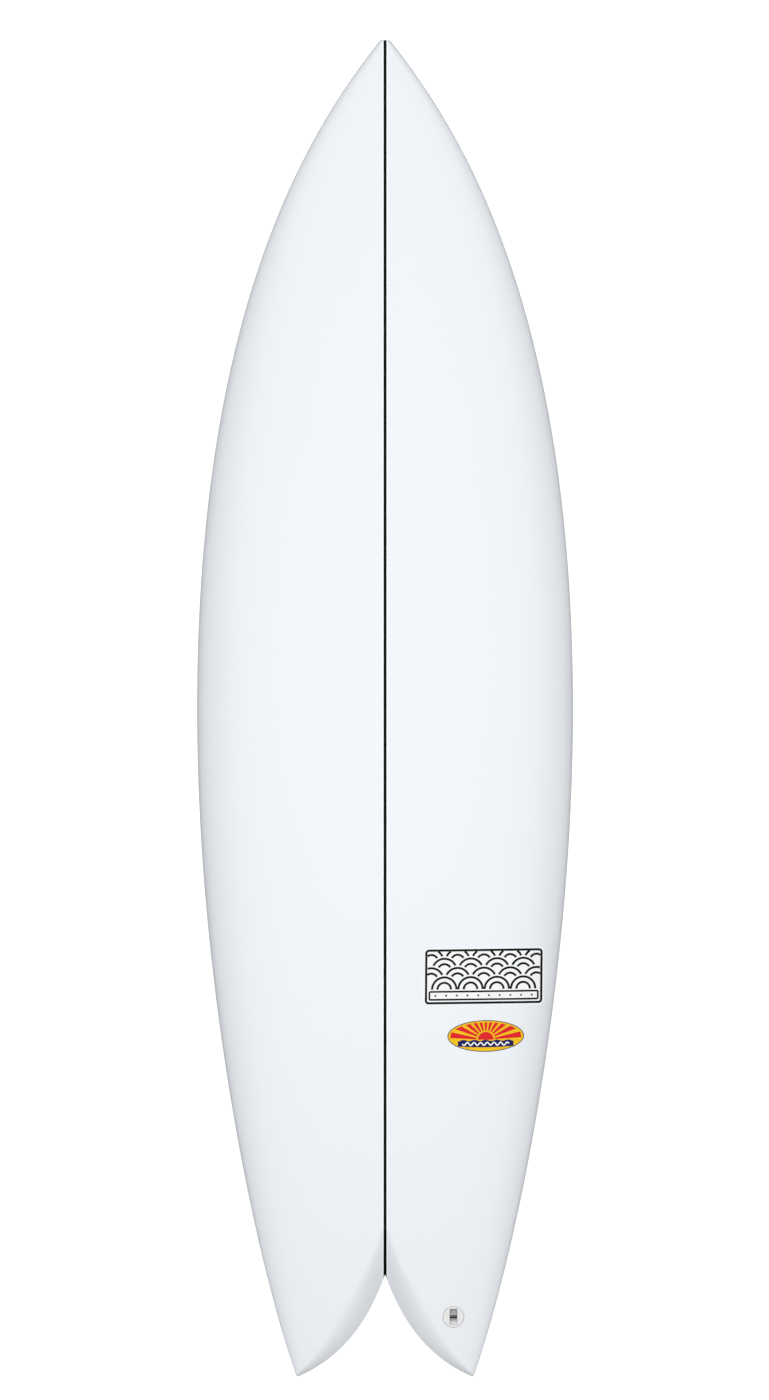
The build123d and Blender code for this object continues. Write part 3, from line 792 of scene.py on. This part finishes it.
def plastic_material(name, colour, shade, matrix, painted_cup_shade=None):
    """Satin moulded plastic with a fine spark-eroded grain. The cup's greys, of its middle, front
    and rear, are painted shade filling what is sunk in its face: darkest around the pin, as a painted
    shadow of the pin and of the recess, lighter towards the front and near white towards the rear."""
    material, tree, surface = shader(name, roughness=0.42, ior=1.49)
    place = local_coordinates(tree, matrix)
    texture = noise(tree, place, 5200.0, 3.0)
    flow = noise(tree, place, 90.0, 4.0)
    normal = bumped(tree, texture, 0.00004)
    tone = mix(tree, ramp(tree, flow, 0.35, 0.7), colour, shade)
    if painted_cup_shade:
        # painted shade: the recessed face is coloured in greys that stand in for the shade in the cup and the
        # pin's shadow, not the plastic's own colour
        middle, front_shade, rear_shade = painted_cup_shade
        apart = add(tree, "ShaderNodeSeparateXYZ", {0: place})
        sunk = ramp(tree, apart.outputs[2], -0.0016, -0.0004, 1.0, 0.0)
        front = ramp(tree, apart.outputs[1], 0.0050, 0.0088, middle, front_shade)
        rear = ramp(tree, apart.outputs[1], -0.0093, -0.0040, rear_shade - middle, 0.0)
        tone = mix(tree, sunk, tone, maths(tree, "ADD", front, rear))
    plug_in(tree, surface, tone, ramp(tree, texture, 0.3, 0.7, 0.37, 0.49), normal)
    return material


def resin_material():
    """Cured milky resin with small trapped bubbles."""
    material, tree, surface = shader("cured_resin", roughness=0.25, coat_weight=0.6, coat_roughness=0.12)
    place = local_coordinates(tree, LEVEL)
    bubbles = add(tree, "ShaderNodeTexVoronoi", {"Vector": place, "Scale": 1100.0}).outputs["Distance"]
    dot = ramp(tree, bubbles, 0.10, 0.22, 1.0, 0.0)
    cloud = noise(tree, place, 220.0, 4.0)
    milky = mix(tree, cloud, rgba(0.45, 0.455, 0.46), rgba(0.39, 0.395, 0.40))
    plug_in(tree, surface, mix(tree, dot, milky, rgba(0.60, 0.61, 0.62)),
            ramp(tree, cloud, 0.3, 0.7, 0.20, 0.32), bumped(tree, dot, 0.00005))
    return material


def turned_metal(name, colour, worn, matrix, roughness, rings_along=2):
    """Metal with the fine rings of turning about the frame's axis of that number."""
    material, tree, surface = shader(name, metallic=1.0, roughness=roughness)
    place = local_coordinates(tree, matrix)
    apart = add(tree, "ShaderNodeSeparateXYZ", {0: place})
    wobble = noise(tree, place, 700.0, 2.0)
    along_axis = maths(tree, "MULTIPLY_ADD", wobble, 0.08 * MM, apart.outputs[rings_along])
    ring_pitch = 0.25 * MM
    rings = maths(tree, "SINE", maths(tree, "MULTIPLY", along_axis, 2 * pi / ring_pitch))
    rings = maths(tree, "MULTIPLY_ADD", rings, 0.5, 0.5)
    scuff = ramp(tree, noise(tree, place, 900.0, 5.0), 0.45, 0.72)
    plug_in(tree, surface, mix(tree, scuff, colour, worn),
            ramp(tree, scuff, 0.0, 1.0, roughness, roughness + 0.18), bumped(tree, rings, 0.000006))
    return material


def fin_material(side):
    """Smoke-grey fibreglass: woven cloth under clear resin, over a hexagonal core that just shows."""
    material, tree, surface = shader(f"fin_composite_{side}", roughness=0.30, coat_weight=1.0,
                                     coat_roughness=0.08)
    place = local_coordinates(tree, fin_frames[side])
    apart = add(tree, "ShaderNodeSeparateXYZ", {0: place})
    forward, depth = apart.outputs[0], apart.outputs[2]
    flat = add(tree, "ShaderNodeCombineXYZ", {0: forward, 1: depth, 2: 0.0}).outputs[0]
    turned = add(tree, "ShaderNodeMapping", {"Vector": flat, "Rotation": (0, 0, radians(45))})
    cloth = weave(tree, turned.outputs[0], 1.3 * MM)
    # hexagons: nearest of two rectangular lattices of points
    cell = 7.0 * MM
    gaps = []
    for shift in (0.0, 0.5):
        u = maths(tree, "ADD", maths(tree, "DIVIDE", forward, cell), shift)
        v = maths(tree, "ADD", maths(tree, "DIVIDE", depth, cell * sqrt(3)), shift)
        du = maths(tree, "SUBTRACT", maths(tree, "FRACT", u), 0.5)
        dv = maths(tree, "MULTIPLY", maths(tree, "SUBTRACT", maths(tree, "FRACT", v), 0.5), sqrt(3))
        slanted = maths(tree, "ADD", maths(tree, "MULTIPLY", maths(tree, "ABSOLUTE", du), 0.5),
                        maths(tree, "MULTIPLY", maths(tree, "ABSOLUTE", dv), sqrt(3) / 2))
        gaps.append(maths(tree, "MAXIMUM", maths(tree, "ABSOLUTE", du), slanted))
    wall = ramp(tree, maths(tree, "MINIMUM", *gaps), 0.43, 0.48)
    # the core stops short of the fin's edges, where the laminate is solid
    core = ramp(tree, depth, 0.006, 0.016)
    core = maths(tree, "MULTIPLY", core, ramp(tree, depth, 0.095, 0.118, 1.0, 0.0))
    lean = maths(tree, "ABSOLUTE", maths(tree, "MULTIPLY_ADD", depth, 0.42, forward))
    core = maths(tree, "MULTIPLY", core, ramp(tree, lean, 0.030, 0.042, 1.0, 0.0))
    clouds = noise(tree, place, 45.0, 4.0)
    smoke = mix(tree, clouds, rgba(0.030, 0.033, 0.037), rgba(0.043, 0.047, 0.052))
    smoke = mix(tree, maths(tree, "MULTIPLY", cloth, 0.35), smoke, rgba(0.075, 0.080, 0.086))
    showing = maths(tree, "MULTIPLY", maths(tree, "MULTIPLY", wall, core), 0.7)
    smoke = mix(tree, showing, smoke, rgba(0.135, 0.142, 0.150))
    polish = ramp(tree, noise(tree, place, 130.0, 4.0), 0.3, 0.7, 0.24, 0.36)
    plug_in(tree, surface, smoke, polish, bumped(tree, cloth, 0.00001))
    return material


def foam_material():
    """Closed-cell foam of the blank, sanded."""
    material, tree, surface = shader("blank_foam", roughness=0.85)
    place = local_coordinates(tree, LEVEL)
    cells = add(tree, "ShaderNodeTexVoronoi", {"Vector": place, "Scale": 2200.0}).outputs["Distance"]
    patches = noise(tree, place, 30.0, 4.0)
    plug_in(tree, surface, mix(tree, patches, rgba(0.88, 0.88, 0.86), rgba(0.80, 0.80, 0.78)),
            ramp(tree, patches, 0.3, 0.7, 0.8, 0.92), bumped(tree, cells, 0.00015))
    return material


def wood_material():
    """Black-stained ply of the stringer, with its grain running fore and aft."""
    material, tree, surface = shader("stringer_ply", roughness=0.6)
    place = local_coordinates(tree, LEVEL)
    stretched = add(tree, "ShaderNodeMapping", {"Vector": place, "Scale": (1.0, 0.03, 1.0)}).outputs[0]
    grain = noise(tree, stretched, 1400.0, 4.0)
    plug_in(tree, surface, mix(tree, grain, STRINGER_BLACK, rgba(0.02, 0.018, 0.016)),
            ramp(tree, grain, 0.3, 0.7, 0.5, 0.7), bumped(tree, grain, 0.00005))
    return material


def glue_material():
    """White foaming glue, set between the stringer and the blank."""
    material, tree, surface = shader("glue", roughness=0.5)
    place = local_coordinates(tree, LEVEL)
    froth = noise(tree, place, 1300.0, 4.0)
    plug_in(tree, surface, mix(tree, froth, GLUE_WHITE, rgba(0.86, 0.88, 0.88)),
            ramp(tree, froth, 0.3, 0.7, 0.4, 0.6), bumped(tree, froth, 0.0001))
    return material


def finish(names, material, sharp=radians(30)):
    """Gives CAD nodes a material and smooth shading, creased where they bend by that angle."""
    for name in names:
        mesh = frame["nodes"][name].data
        mesh.materials.clear()
        mesh.materials.append(material)
        mesh.shade_smooth()
        mesh.set_sharp_from_angle(angle=sharp)


skin.data.materials.clear()
skin.data.materials.append(glass_material())

white_ink = ink_material("ink_white", rgba(0.965, 0.975, 0.985), rgba(0.935, 0.945, 0.955))
black_ink = ink_material("ink_black", rgba(0.006, 0.006, 0.007), rgba(0.012, 0.012, 0.013))
yellow_ink = ink_material("ink_yellow", rgba(0.95, 0.60, 0.010), rgba(0.88, 0.52, 0.010))
red_ink = ink_material("ink_red", rgba(0.82, 0.018, 0.024), rgba(0.74, 0.016, 0.022))
navy_ink = ink_material("ink_navy", rgba(0.006, 0.010, 0.10), rgba(0.009, 0.014, 0.12))


def wave_print():
    """The large patch: overlapping wave scales in a black frame, over a long bar of dots."""
    border, stroke, margin = 3.0, 2.9, 2.0
    half_u, half_v = LARGE_DECAL_SIZE[0] / 2, LARGE_DECAL_SIZE[1] / 2
    made = Print("deck_print_waves", LARGE_DECAL_CENTRE)
    ground = rounded_grid(half_u + margin, half_v + margin, LARGE_DECAL_CORNER + margin)
    made.patch(ground, white_ink, PRINT_HEIGHT)
    middle_u, middle_v = half_u - border / 2, half_v - border / 2
    frame_path = rounded_rectangle(middle_u, middle_v, LARGE_DECAL_CORNER - border / 2)
    made.line(frame_path, border, black_ink, closed=True)
    # rows of scales of two arcs each, the nearer scales hiding the farther
    row_count, fewest, pitch, rise, base = 4, 4, 17.5, 12.4, -17.0
    reach, inner_reach = 16.2, 9.0
    overlap = 0.4
    inner_u, inner_v = half_u - border + overlap, half_v - border + overlap
    rows = []
    for number in range(row_count):
        count = fewest + number % 2
        rows.append([(pitch * (2 * k - count + 1), base + number * rise) for k in range(count)])
    for number, row in enumerate(rows):
        nearer = [centre for other in rows[:number] for centre in other]
        for centre in row:
            for radius in (reach, inner_reach):
                path = arc(centre, radius, 0, 180, 1.2)
                shown = (np.abs(path[:, 0]) < inner_u) & (path[:, 1] < inner_v)
                for disc in nearer:
                    shown &= np.linalg.norm(path - disc, axis=1) > reach + stroke * 0.9
                changes = np.flatnonzero(np.diff(shown.astype(int))) + 1
                for run in np.split(np.arange(len(path)), changes):
                    if shown[run[0]] and len(run) > 3:
                        made.line(path[run], stroke, black_ink)
    # the bar of dots along the foot
    gap, bar_corner, bar_stroke = 6.0, 1.5, 2.4
    dot_count, dot_radius, first_dot = 10, 1.3, 14
    bar_low, bar_high = gap - half_v, base - stroke
    bar_half, bar_middle = (bar_high - bar_low) / 2, (bar_high + bar_low) / 2
    bar = rounded_rectangle(half_u - gap, bar_half, bar_corner) + (0, bar_middle)
    made.line(bar, bar_stroke, black_ink, closed=True)
    for u in np.linspace(first_dot - half_u, half_u - first_dot, dot_count):
        made.patch(oval_grid(dot_radius, dot_radius, 9, 4) + (u, bar_middle), black_ink)
    return made.piece()


def sun_print():
    """The small patch: a red half sun with rays on yellow, over a navy band with a white wave."""
    a, b = SMALL_DECAL_SIZE[0] / 2, SMALL_DECAL_SIZE[1] / 2
    made = Print("deck_print_sun", SMALL_DECAL_CENTRE)
    made.patch(oval_grid(a, b, 33, 40), yellow_ink, PRINT_HEIGHT)
    outline = 1.0
    edge_u, edge_v = a - outline / 2, b - outline / 2
    turn = np.linspace(0, 2 * pi, 120, endpoint=False)
    edge = np.stack([edge_u * np.cos(turn), edge_v * np.sin(turn)], 1)
    made.line(edge, outline, navy_ink, closed=True)
    # the half sun
    sun_v, sun_radius = -5.0, 10.5
    sun = arc((0, sun_v), sun_radius, 180, 0, 1.0)
    flat = np.stack([sun[:, 0], 0 * sun[:, 0] + sun_v], 1)
    made.patch(between(flat[1:-1], sun[1:-1], 6), red_ink)
    # its rays, each out to a smaller oval
    rays, ray_start, ray_share, rim = 11, 12.5, 0.30, 3.0
    for k in range(rays):
        angle = pi * (k + 0.5) / rays
        half = pi / rays * ray_share
        sides = []
        for turned in (angle - half, angle + half):
            out = np.array([cos(turned), sin(turned)])
            far = ray_start
            while (out[0] * far / (a - rim)) ** 2 + ((sun_v + out[1] * far) / (b - rim)) ** 2 < 1:
                far += 0.25
            ends = [out * reach + (0, sun_v) for reach in (ray_start, far)]
            sides.append(np.linspace(*ends, 9))
        made.patch(between(*sides, 2), red_ink)
    # the navy band, with a rippled top and a hollow foot
    band_half, ripples, ripple, hollow = 37.0, 5, 0.9, 1.5
    crest_v, foot_v = sun_v - 0.8, -15.0
    u = np.linspace(-band_half, band_half, 61)
    crest = crest_v + ripple * np.cos(u / band_half * ripples * pi)
    foot = foot_v + hollow * (u / band_half) ** 2
    made.patch(between(np.stack([u, foot], 1), np.stack([u, crest], 1), 4), navy_ink)
    # the white wave on it
    wave_half, swells, swell, wave_v, wave_stroke = 31.0, 7, 1.9, -10.4, 1.7
    u = np.linspace(-wave_half, wave_half, 121)
    wave = np.stack([u, wave_v + swell * np.sin(u / wave_half * swells * pi)], 1)
    made.line(wave, wave_stroke, white_ink, top=INK_HEIGHT + 0.04)
    return made.piece()


waves = wave_print()
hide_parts("deck_decal_large")
sun = sun_print()
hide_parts("deck_decal_small")

finish(["foam_blank_left", "foam_blank_right"], foam_material())
finish(["stringer"], wood_material())
finish(["glue_line_left", "glue_line_right"], glue_material())
# the leash plug's cup greys are painted shade of its recess and a painted shadow of the pin
leash_plastic = plastic_material("leash_plug_plastic", rgba(0.835, 0.835, 0.835),
                                 rgba(0.81, 0.81, 0.815), leash_frame, painted_cup_shade=(0.57, 0.71, 0.98))
finish(["leash_plug_body"], leash_plastic)
pin_metal = turned_metal("leash_pin_metal", rgba(0.055, 0.056, 0.060), rgba(0.12, 0.12, 0.125),
                         leash_frame, 0.34, rings_along=0)
finish(["leash_pin"], pin_metal)
beds = ["leash_plug_resin"] + [f"fin_plug_resin_{s}_{p}" for s in SIDES for p in PLACES]
finish(beds, resin_material())
for side in SIDES:
    finish([f"fin_{side}"], fin_material(side), radians(24))
    for place in PLACES:
        plug_plastic = plastic_material(f"fin_plug_plastic_{side}_{place}", rgba(0.80, 0.81, 0.82),
                                        rgba(0.74, 0.75, 0.765), plug_frames[side, place])
        finish([f"fin_plug_{side}_{place}"], plug_plastic)
        turn_joint = joints[f"grub_screw_{side}_{place}_turn"]
        screw_frame = frame_matrix(Vector(turn_joint["pos_m"]), (0, 1, 0), turn_joint["axis"])
        steel = turned_metal(f"screw_steel_{side}_{place}", rgba(0.62, 0.62, 0.63),
                             rgba(0.46, 0.46, 0.47), screw_frame, 0.24)
        finish([f"grub_screw_{side}_{place}"], steel)


# ---------------------------------------------------------------- stage, light and camera

FLOOR_SPAN = 60.0
FLOOR_COLOUR = rgba(0.30, 0.30, 0.30)
FLOOR_GLOW, FLOOR_BOUNCE = 1.0, 0.36  # its own light as seen, and as it falls on the board
AMBIENT, BACKDROP = 0.10, 0.86  # the studio's light as it falls on things, and as seen
KEY_SIZE, KEY_HEIGHT, KEY_POWER = 3.4, 2.8, 90.5
KEY_AHEAD = 0.06  # how far towards the nose the light hangs


def floor_material():
    """A white studio floor, lit partly from within so that it stays white around the board."""
    material = bpy.data.materials.new("floor_white")
    material.use_nodes = True
    tree = material.node_tree
    tree.nodes.clear()
    matt = add(tree, "ShaderNodeBsdfDiffuse", {"Color": FLOOR_COLOUR}).outputs[0]
    seen = add(tree, "ShaderNodeLightPath").outputs["Is Camera Ray"]
    strength = ramp(tree, seen, 0.0, 1.0, FLOOR_BOUNCE, FLOOR_GLOW)
    glow = add(tree, "ShaderNodeEmission", {"Color": rgba(1, 1, 1), "Strength": strength}).outputs[0]
    both = add(tree, "ShaderNodeAddShader", {0: matt, 1: glow}).outputs[0]
    add(tree, "ShaderNodeOutputMaterial", {"Surface": both})
    return material


floor_mesh = bpy.data.meshes.new("floor")
corners = [(u * FLOOR_SPAN, v * FLOOR_SPAN, 0) for u, v in ((-1, -1), (1, -1), (1, 1), (-1, 1))]
floor_mesh.from_pydata(corners, [], [(0, 1, 2, 3)])
floor = bpy.data.objects.new("floor", floor_mesh)
bpy.context.scene.collection.objects.link(floor)
floor.data.materials.append(floor_material())

world = bpy.data.worlds.new("studio")
bpy.context.scene.world = world
world.use_nodes = True
air = world.node_tree
air.nodes.clear()
seen = add(air, "ShaderNodeLightPath").outputs["Is Camera Ray"]
strength = ramp(air, seen, 0.0, 1.0, AMBIENT, BACKDROP)
sky = add(air, "ShaderNodeBackground", {"Color": rgba(1, 1, 1), "Strength": strength}).outputs[0]
add(air, "ShaderNodeOutputWorld", {"Surface": sky})

level_turn = LEVEL.to_3x3().to_4x4()
key = bpy.data.lights.new("key", "AREA")
key.shape = "DISK"
key.size = KEY_SIZE
key.energy = KEY_POWER
key_object = bpy.data.objects.new("key", key)
key_object.matrix_world = Matrix.Translation(LEVEL @ Vector((0, KEY_AHEAD, KEY_HEIGHT))) @ level_turn
key_object.visible_camera = False
bpy.context.scene.collection.objects.link(key_object)

camera = bpy.data.cameras.new("camera")
camera.sensor_fit = "AUTO"
camera.sensor_width = SENSOR
camera.lens = SENSOR * CAMERA_DISTANCE / FRAME_HEIGHT
camera.clip_start, camera.clip_end = 0.5, 3 * CAMERA_DISTANCE
camera_object = bpy.data.objects.new("camera", camera)
stand = Vector((FRAME_CENTRE[0] * MM, FRAME_CENTRE[1] * MM, CAMERA_DISTANCE + FRAME_LEVEL * MM))
camera_object.matrix_world = Matrix.Translation(LEVEL @ stand) @ level_turn
bpy.context.scene.collection.objects.link(camera_object)
bpy.context.scene.camera = camera_object

bpy.context.scene.view_settings.view_transform = "Standard"
bpy.context.scene.view_settings.look = "None"
